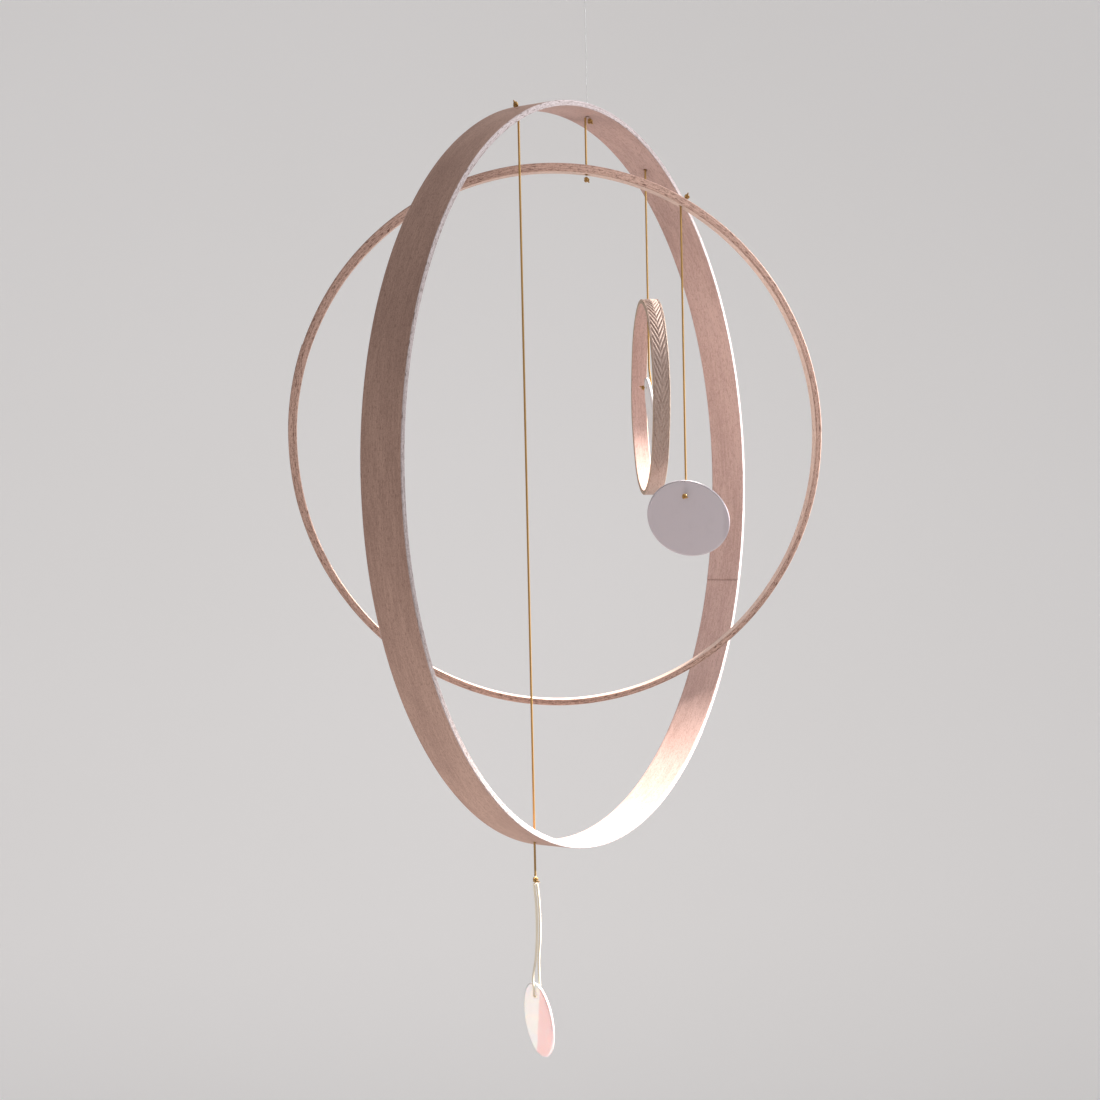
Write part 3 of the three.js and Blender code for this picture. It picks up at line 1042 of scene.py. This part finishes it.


# ------------------------------------------------------------------ the mobile

# each hoop's inside colours are lighter than its outside ones: painted light, the bounce and sun that fall
# on the inner faces
LARGE_WOOD = PaleWood(
    "large_hoop_wood",
    outside=SideColours((0.52, 0.33, 0.26, 1), (0.3, 0.175, 0.135, 1)),
    inside=SideColours((0.62, 0.42, 0.37, 1), (0.42, 0.265, 0.225, 1)),
    edge=SideColours((0.62, 0.54, 0.54, 1), (0.22, 0.165, 0.15, 1)),
    width=22 * MM,
    wall=2.9 * MM,
)
MIDDLE_WOOD = PaleWood(
    "middle_hoop_wood",
    outside=SideColours((0.55, 0.37, 0.3, 1), (0.3, 0.18, 0.14, 1)),
    inside=SideColours((0.8, 0.6, 0.51, 1), (0.5, 0.35, 0.29, 1)),
    edge=SideColours((0.62, 0.4, 0.32, 1), (0.17, 0.085, 0.06, 1)),
    width=7 * MM,
    wall=4 * MM,
)
RING_WOOD = PaleWood(
    "small_ring_wood",
    outside=SideColours((0.52, 0.39, 0.33, 1), (0.28, 0.19, 0.155, 1)),
    inside=SideColours((0.66, 0.44, 0.38, 1), (0.42, 0.26, 0.22, 1)),
    edge=SideColours((0.56, 0.42, 0.31, 1), (0.3, 0.2, 0.14, 1)),
    width=9.6 * MM,
    wall=2.8 * MM,
)
# the right disc's paint is near white with a slight lilac tint; this grey-lilac is darker as painted shade
SHADED_LILAC_PAINT = PlatePaint(
    "lilac_paint_with_painted_shade",
    (0.58, 0.53, 0.56, 1),
    (0.53, 0.475, 0.51, 1),
    offset=0.02,
    rough=0.65,
)
WHITE_PAINT = PlatePaint(
    "white_paint",
    (0.88, 0.86, 0.85, 1),
    (0.84, 0.82, 0.81, 1),
    offset=0.02,
    rough=0.5,
)
PINK_PAINT = PlatePaint(
    "pink_and_white_paint",
    (0.95, 0.94, 0.93, 1),
    (0.93, 0.7, 0.715, 1),
    border=(0.96, -0.28, 0.0),
    offset=0.001,
    rough=0.35,
    coat=0.4,
    glow=0.35,
)
# each thread's second colour is painted shade between its strands
GOLD_THREAD = Thread("gold_thread", (0.52, 0.31, 0.1, 1), (0.09, 0.04, 0.015, 1), 0.5, 0.42)
CREAM_THREAD = Thread("cream_thread", (0.93, 0.84, 0.68, 1), (0.5, 0.4, 0.28, 1), 0.0, 0.75)
CLEAR_NYLON = ClearNylon()

GOLD_TWIST = Twist(3, 3.0, 0.62)
CREAM_TWIST = Twist(3, 3.4, 0.66)
PLAIN_LINE = Twist(1, 1.0, 1.0)
CORD = 1.2 * MM
PULLED_CORD = 0.95 * MM  # the gold cord where a knot is pulled tight
PALE_CORD = 1.3 * MM
LINE = 0.6 * MM


@dataclass(frozen=True)
class Hole:
    """A cord hole: a place on its axis, the direction it is drilled in, and its length."""

    place: Point
    axis: Point
    length: float
    radius: float = 1.1 * MM


def drill(piece: bpy.types.Object, holes: list[Hole]) -> None:
    """Cuts cord holes into a piece, keeping the measures on its faces.

    Each drill is a prism whose ring of points is place + radius (cos, sin) at both ends.

    Args:
        piece: the object to cut.
        holes: where to drill.
    """
    sides, slantwise = 28, (0.3, 0.9, 0.1)
    for number, hole in enumerate(holes):
        reach = np.linspace(-0.5, 0.5, 3)[:, None] * hole.length
        path = np.array(hole.place) + reach * np.array(hole.axis)
        places, faces = tube(path, np.full((3, sides), hole.radius), slantwise)
        cutter = mesh_piece(f"drill_{number}", places, faces)
        cut = piece.modifiers.new(cutter.name, "BOOLEAN")
        cut.operation = "DIFFERENCE"
        cut.solver = "EXACT"
        cut.object = cutter
    bpy.context.view_layer.update()
    graph = bpy.context.evaluated_depsgraph_get()
    drilled = bpy.data.meshes.new_from_object(piece.evaluated_get(graph))
    for cut in list(piece.modifiers):
        cutter = cut.object
        piece.modifiers.remove(cut)
        bpy.data.objects.remove(cutter)
    plain = piece.data
    piece.data = drilled
    drilled.name = plain.name
    bpy.data.meshes.remove(plain)


def plumb(x: float, y: float, top: float, bottom: float, count: int) -> list[Point]:
    """Lists evenly spaced points straight down from one height to another."""
    return [(x, y, float(z)) for z in np.linspace(top, bottom, count)]


class Mobile:
    """The whole mobile: its cords first, then its hoops and its discs."""

    upper_cord_x = -1.1 * MM
    long_cord_along = -70.95 * MM
    ring_cord_along = 78.57 * MM
    right_cord_along = 69.7 * MM
    right_cord_plumb_from = -150 * MM
    loop_half_width = 2.6 * MM
    cream_strand = 0.8 * MM
    cream_bow = 0.9 * MM
    cream_lip = 9.5 * MM

    def __init__(self) -> None:
        """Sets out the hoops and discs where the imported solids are."""
        self.large = Hoop(
            "large_hoop", "large_wood", turn=61.14, width=22 * MM, wall=2.9 * MM,
            laps=(Lap(-20, 26, 0.35 * MM, Face.INNER), Lap(-52, -26, 0.3 * MM, Face.OUTER)),
        )
        self.middle = Hoop(
            "middle_hoop", "middle_wood", turn=9.66, width=7 * MM, wall=4 * MM, swing=0.9 * MM,
            thick_side=130, edge=0.6 * MM, flat=8,
            laps=(Lap(160, 20, 0.3 * MM, Face.OUTER),),
        )
        self.ring = CarvedRing("small_ring", "ring_wood", turn=93.05, width=9.6 * MM, wall=2.8 * MM)
        self.right_disc = Disc(
            "right_disc", "lilac_disc", 23.8 * MM, 20.9 * MM, turn=-18, lean=6, roll=-23,
            hole=(-1.0 * MM, 12.6 * MM), thickness=1.8 * MM,
        )
        self.lower_disc = Disc(
            "lower_disc", "pink_disc", 18.9 * MM, 18.9 * MM, turn=-67, lean=2.9,
            hole=(0.0, 12.3 * MM), thickness=1.6 * MM,
        )
        self.inner_disc = Disc(
            "inner_disc", "white_disc", 23 * MM, 23 * MM, turn=-89.4, lean=6.1,
            hole=(0.0, 17.5 * MM), thickness=1.8 * MM,
        )

    # -------------------------------------------------------------- cords

    def through_hoop(self, hoop: Hoop, along: float, bottom: float, count: int) -> list[Point]:
        """Lists a cord's points from outside a hoop, through its hole and straight down.

        Args:
            hoop: the hoop.
            along: the hole's place along the hoop's plane.
            bottom: the height that the cord ends at.
            count: how many points the plumb stretch has.

        Returns:
            The route's points, in metres.
        """
        inner = hoop.radius - hoop.wall
        angle = np.arccos(along / inner)
        radii = np.array([hoop.radius, (hoop.radius + inner) / 2, inner])
        outside, middle, mouth = map(tuple, hoop.place(angle, radii, np.zeros(3)).tolist())
        x, y, z = mouth
        return [outside, middle, (x, y, z - CORD / 4), *plumb(x, y, z - CORD, bottom, count)]

    def behind_disc(self, disc: Disc, start: list[Point], count: int) -> list[Point]:
        """Lists a cord's points on down behind a disc and out of its hole.

        Args:
            disc: the disc.
            start: the points above it, the last of them plumb over the hole.
            count: how many points the plumb stretch has.

        Returns:
            The route's points, in metres.
        """
        behind = -disc.thickness / 2 - CORD / 2 - GAP
        bend = disc.at_hole(behind - GAP, 2 * disc.hole_radius)
        x, y, z = start[-1]
        return [
            *start[:-1],
            *plumb(x, y, z, bend[2] + 8 * disc.hole_radius, count),
            bend,
            disc.at_hole(behind + GAP, CORD / 4),
            disc.at_hole(0),
            disc.at_hole(disc.thickness / 2),
        ]

    def cream_points(self, x: float, y: float) -> list[Point]:
        """Lists the cream loop's points: down in front of the lowest disc and up behind it.

        Args:
            x, y: where the knot that carries the loop hangs.

        Returns:
            The route's points, in metres.
        """
        disc = self.lower_disc
        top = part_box("loop_knot")[0][2] - GAP
        clear = disc.thickness / 2 + PALE_CORD / 2 + GAP
        lip = self.cream_lip
        front_lip, back_lip = disc.at_hole(clear, lip), disc.at_hole(-clear, lip)
        join = back_lip[2] + lip
        high, low = (top + share * (join - top) for share in (0.3, 0.7))
        left, right = x - self.cream_strand, x + self.cream_strand
        bow = self.cream_bow
        return [
            (left, y, top),
            (left + bow, y, high),
            (left + bow, y, low),
            (left, y, join),
            front_lip,
            disc.at_hole(clear, lip / 3),
            disc.at_hole(clear),
            disc.at_hole(0),
            disc.at_hole(-clear),
            disc.at_hole(-clear, lip / 3),
            back_lip,
            (right, y, join),
            (right + bow, y, low),
            (right + bow, y, high),
            (right, y, top),
        ]

    def clear_points(self) -> list[Point]:
        """Lists the clear line's points: up from the large hoop, round the loop and back."""
        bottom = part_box("hanging_line")[0][2]
        knot = sum(corner[2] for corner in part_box("hanging_loop_knot")) / 2
        half = self.loop_half_width
        turn = np.radians(np.arange(-30, 211, 20))
        loop = [(half * cos(angle), 0.0, LINE / 2 - half * (1 - sin(angle))) for angle in turn]
        return [
            *plumb(0.0, 0.0, bottom, knot - LINE, 10),
            (LINE, 0.0, knot + 2 * LINE),
            *loop,
            (-LINE, 0.0, knot + 2 * LINE),
            (-LINE, 0.0, knot + LINE),
        ]

    def make_cords(self, knots: dict[str, bpy.types.Object]) -> None:
        """Hangs every cord between the knots that it carries."""
        hoop_inside = self.large.centre[2] + self.large.radius - self.large.wall
        middle_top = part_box("upper_cord")[0][2]
        upper = plumb(self.upper_cord_x, 0.0, hoop_inside - CORD / 2, middle_top, 7)
        long_route = self.through_hoop(self.large, self.long_cord_along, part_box("long_cord")[0][2], 12)
        ring_route = self.through_hoop(self.large, self.ring_cord_along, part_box("ring_cord")[0][2], 7)
        x, y, _ = ring_route[-1]
        inner_route = self.behind_disc(self.inner_disc, [(x, y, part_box("inner_cord")[1][2])], 5)
        right_route = self.behind_disc(
            self.right_disc,
            self.through_hoop(self.middle, self.right_cord_along, self.right_cord_plumb_from, 2),
            8,
        )
        cream_route = self.cream_points(*long_route[-1][:2])
        gold = [
            ("upper_gold_cord", "upper_cord", upper, ["upper_knot", "middle_knot"]),
            ("long_gold_cord", "long_cord", long_route, ["long_cord_knot", "loop_knot"]),
            ("ring_gold_cord", "ring_cord", ring_route, ["ring_cord_knot", "ring_knot"]),
            ("inner_gold_cord", "inner_cord", inner_route, ["inner_disc_knot"]),
            ("right_gold_cord", "right_cord", right_route, ["right_cord_knot", "right_disc_knot"]),
        ]
        for name, node, route, tied in gold:
            cord = Cord(name, (node,), "gold_cord", route, CORD, GOLD_TWIST)
            cord.make(GOLD_THREAD, [knots[knot] for knot in tied])
        cream = Cord("cream_loop", ("lower_loop",), "cream_cord", cream_route, PALE_CORD, CREAM_TWIST)
        cream.make(CREAM_THREAD, [])
        clear = Cord(
            "clear_hanging_line", ("hanging_line", "hanging_loop"), "clear_line",
            self.clear_points(), LINE, PLAIN_LINE, lay="taut",
        )
        clear.make(CLEAR_NYLON, [knots["hanging_loop_knot"]])

    def make_knots(self) -> dict[str, bpy.types.Object]:
        """Ties every knot and gives them by their nodes' names."""
        tail = (0.5, -0.4, -0.8)
        gold = {
            "upper_knot": ((0.3, 1, 0.2), tail),
            "middle_knot": ((0.2, 1, 0.1), tail),
            "long_cord_knot": ((0.5, 1, 0.3), (-0.3, -0.5, 0.9)),
            "loop_knot": ((-0.3, 1, 0.1), (0.8, -0.5, -0.5)),
            "ring_cord_knot": ((0.4, 1, 0.2), (0.6, -0.3, 0.7)),
            "ring_knot": ((0.2, 1, 0.5), tail),
            "inner_disc_knot": ((1, 0.3, 0.2), (-0.8, -0.4, 0.5)),
            "right_cord_knot": ((0.1, 1, 0.3), (0.4, -0.4, 0.8)),
            "right_disc_knot": ((0.3, 1, 0.1), (0.7, -0.6, -0.4)),
        }
        knots = {
            node: Knot(node, "gold_cord", axis, PULLED_CORD, end).make(GOLD_THREAD)
            for node, (axis, end) in gold.items()
        }
        clear = Knot("hanging_loop_knot", "clear_line", (0.2, 1, 0.1), LINE, tail)
        knots[clear.node] = clear.make(CLEAR_NYLON)
        return knots

    # -------------------------------------------------------------- wood and discs

    def make_hoops(self) -> None:
        """Bends the hoops and the ring, and drills their cord holes."""
        up = (0.0, 0.0, 1.0)
        large = self.large.make(LARGE_WOOD)
        drill(
            large,
            [
                Hole((0.0, 0.0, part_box("large_hoop")[1][2]), up, 16 * MM),
                self.radial_hole(self.large, self.long_cord_along),
                self.radial_hole(self.large, self.ring_cord_along),
                self.lower_hole(),
            ],
        )
        middle = self.middle.make(MIDDLE_WOOD)
        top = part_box("upper_cord")[0][2]
        drill(
            middle,
            [
                Hole((self.upper_cord_x, 0.0, top), up, 16 * MM),
                self.radial_hole(self.middle, self.right_cord_along),
            ],
        )
        ring = self.ring.make(RING_WOOD)
        drill(ring, [Hole((*self.ring.centre[:2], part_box("small_ring")[1][2]), up, 12 * MM)])

    def radial_hole(self, hoop: Hoop, along: float) -> Hole:
        """Places a hole that points at the hoop's centre, over a place along its plane.

        Args:
            hoop: the hoop.
            along: the hole's place along the hoop's plane.

        Returns:
            The hole.
        """
        angle = np.array(np.arccos(along / (hoop.radius - hoop.wall)))
        place = hoop.place(angle, np.array(hoop.radius - hoop.wall / 2), np.array(0.0))
        outward = (place - hoop.centre) / np.linalg.norm(place - hoop.centre)
        return Hole(tuple(place), tuple(outward), 12 * MM)

    def lower_hole(self) -> Hole:
        """Places the plumb hole that the longest cord leaves the large hoop by."""
        angle = np.array(-np.arccos(self.long_cord_along / self.large.radius))
        place = self.large.place(angle, np.array(self.large.radius), np.array(0.0))
        return Hole(tuple(place), (0.0, 0.0, 1.0), 18 * MM)

    def make_discs(self) -> None:
        """Cuts and paints the three discs."""
        self.right_disc.make(SHADED_LILAC_PAINT)
        self.lower_disc.make(PINK_PAINT)
        self.inner_disc.make(WHITE_PAINT)


# ------------------------------------------------------------------ studio


@dataclass(frozen=True)
class SoftLamp:
    """A square soft lamp: its place, what it shines at, its watts, its size and its colour."""

    name: str
    place: Point
    aim: Point
    power: float
    size: float
    colour: Point


@dataclass(frozen=True)
class Studio:
    """A pale room with a key light from the right, a near softbox, and the viewer's camera.

    Attributes:
        eye: the camera's place.
        pitch: how far the camera looks down, in degrees.
        roll: how far it is rolled, in degrees.
        lens: its focal length in millimetres, on a sensor 36 mm wide.
        key_from: the direction that the key light comes from.
        key_aim: the middle of the key light's pool.
        key_power, key_distance, key_radius: its watts, how far off it is, and its size.
        key_beam, key_blend: the beam in degrees and the soft share of it.
        softbox, bounce: the lamp beside the mobile, and the light back up from the floor.
        sky: brightness of the room's light.
        glow: brightness that the backdrop has of its own.
        shown: brightness of the room where the camera looks past the backdrop.
        floor_front, floor_height, wall_distance, wall_top: the ends of floor and wall.
        bend: radius of the curve between them.
        half_span: half their width.
    """

    eye: Point = (-25.5 * MM, -862.1 * MM, -284.0 * MM)
    pitch: float = 2.19
    roll: float = -1.25
    lens: float = 51.15
    key_from: Point = (1.24, 0.33, 1.0)
    key_aim: Point = (0.09, 0.13, -0.44)
    key_power: float = 2600.0
    key_distance: float = 3.0
    key_radius: float = 0.06
    key_beam: float = 11.5
    key_blend: float = 0.6
    softbox: SoftLamp = SoftLamp(
        "softbox", (0.31, -0.1, 0.06), (0.0, 0.0, -0.29), power=1.7, size=0.25, colour=(0.96, 0.97, 1.0)
    )
    bounce: SoftLamp = SoftLamp(
        "bounce", (-0.15, -0.35, -1.5), (0.0, 0.0, -0.29), power=6.5, size=0.8, colour=(1.0, 0.97, 0.95)
    )
    sky: float = 0.46
    glow: float = 0.14
    shown: float = 0.68
    floor_front: float = -3.0
    floor_height: float = -1.8
    wall_distance: float = 1.4
    wall_top: float = 2.2
    bend: float = 0.35
    half_span: float = 3.5

    def set_camera(self) -> None:
        """Places the camera that looks along +Y."""
        data = bpy.data.cameras.new("camera")
        data.lens = self.lens
        data.sensor_width = 36.0
        data.clip_start = 0.01
        camera = bpy.data.objects.new("camera", data)
        tilt = Matrix.Rotation(radians(90 - self.pitch), 4, "X")
        tilt = tilt @ Matrix.Rotation(radians(self.roll), 4, "Z")
        camera.matrix_world = Matrix.Translation(self.eye) @ tilt
        bpy.context.scene.collection.objects.link(camera)
        bpy.context.scene.camera = camera

    def add_lamp(self, light: bpy.types.Light, place: Vector, aim: Vector) -> None:
        """Hangs a lamp at a place, shining at another, out of the camera's sight.

        Args:
            light: the lamp's light.
            place: where it hangs.
            aim: what it shines at.
        """
        lamp = bpy.data.objects.new(light.name, light)
        turn = (place - aim).to_track_quat("Z", "Y").to_matrix().to_4x4()
        lamp.matrix_world = Matrix.Translation(place) @ turn
        lamp.visible_camera = False
        bpy.context.scene.collection.objects.link(lamp)

    def set_lights(self) -> None:
        """Hangs the key light and the soft lamps, and sets the room's even light."""
        key = bpy.data.lights.new("key", "SPOT")
        key.energy = self.key_power
        key.shadow_soft_size = self.key_radius
        key.spot_size = radians(self.key_beam)
        key.spot_blend = self.key_blend
        key.color = (1.0, 0.96, 0.91)
        aim = Vector(self.key_aim)
        self.add_lamp(key, aim + Vector(self.key_from).normalized() * self.key_distance, aim)
        for lamp in (self.softbox, self.bounce):
            light = bpy.data.lights.new(lamp.name, "AREA")
            light.energy, light.size, light.color = lamp.power, lamp.size, lamp.colour
            self.add_lamp(light, Vector(lamp.place), Vector(lamp.aim))
        board = Board(bpy.data.worlds.new("room"))
        light, seen = (
            board.node("Background", None, {"Color": colour, "Strength": strength}).outputs[0]
            for colour, strength in (
                ((1.0, 0.98, 0.985, 1), self.sky),
                ((1.0, 0.99, 0.98, 1), self.shown),
            )
        )
        sees = board.node("LightPath").outputs["Is Camera Ray"]
        bpy.context.scene.world = board.finish(board.node("MixShader", None, {0: sees, 1: light, 2: seen}))

    def set_stage(self) -> None:
        """Builds the floor, which turns up into the wall by a quarter circle."""
        turn = np.linspace(-pi / 2, 0, 24)
        bend_y, bend_z = self.wall_distance - self.bend, self.floor_height + self.bend
        floor_y, wall_z = np.linspace(self.floor_front, bend_y, 8), np.linspace(bend_z, self.wall_top, 8)
        flat = np.ones(8)
        y = np.concatenate([floor_y, bend_y + self.bend * np.cos(turn), self.wall_distance * flat])
        z = np.concatenate([self.floor_height * flat, bend_z + self.bend * np.sin(turn), wall_z])
        x = np.linspace(-self.half_span, self.half_span, 9)
        places = np.stack(np.broadcast_arrays(x, y[:, None], z[:, None]), axis=-1).reshape(-1, 3)
        row, column = np.meshgrid(np.arange(y.size - 1), np.arange(x.size - 1), indexing="ij")
        corner = (row * x.size + column).ravel()
        faces = np.stack([corner, corner + 1, corner + x.size + 1, corner + x.size], axis=1)
        stage = mesh_piece("stage", places, faces)
        board = Board(bpy.data.materials.new("stage_paint"))
        place = board.node("TexCoord").outputs["Object"]
        cloud = board.noise(place, 1.4, 2.0)
        paint = board.mix(cloud, (0.79, 0.78, 0.77, 1), (0.83, 0.82, 0.82, 1))
        inputs = {
            "Base Color": paint,
            "Roughness": 0.95,
            "Emission Color": (1.0, 0.98, 0.97, 1),
            "Emission Strength": self.glow,
        }
        stage.data.materials.append(board.finish(board.node("BsdfPrincipled", None, inputs)))


def main() -> None:
    """Loads the model and builds everything in order."""
    logging.basicConfig(level=logging.INFO, format="%(message)s")
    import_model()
    studio = Studio()
    studio.set_camera()
    mobile = Mobile()
    mobile.make_cords(mobile.make_knots())
    mobile.make_hoops()
    mobile.make_discs()
    studio.set_lights()
    studio.set_stage()
    bpy.context.scene.view_settings.view_transform = "Standard"


if __name__ == "__main__":
    main()
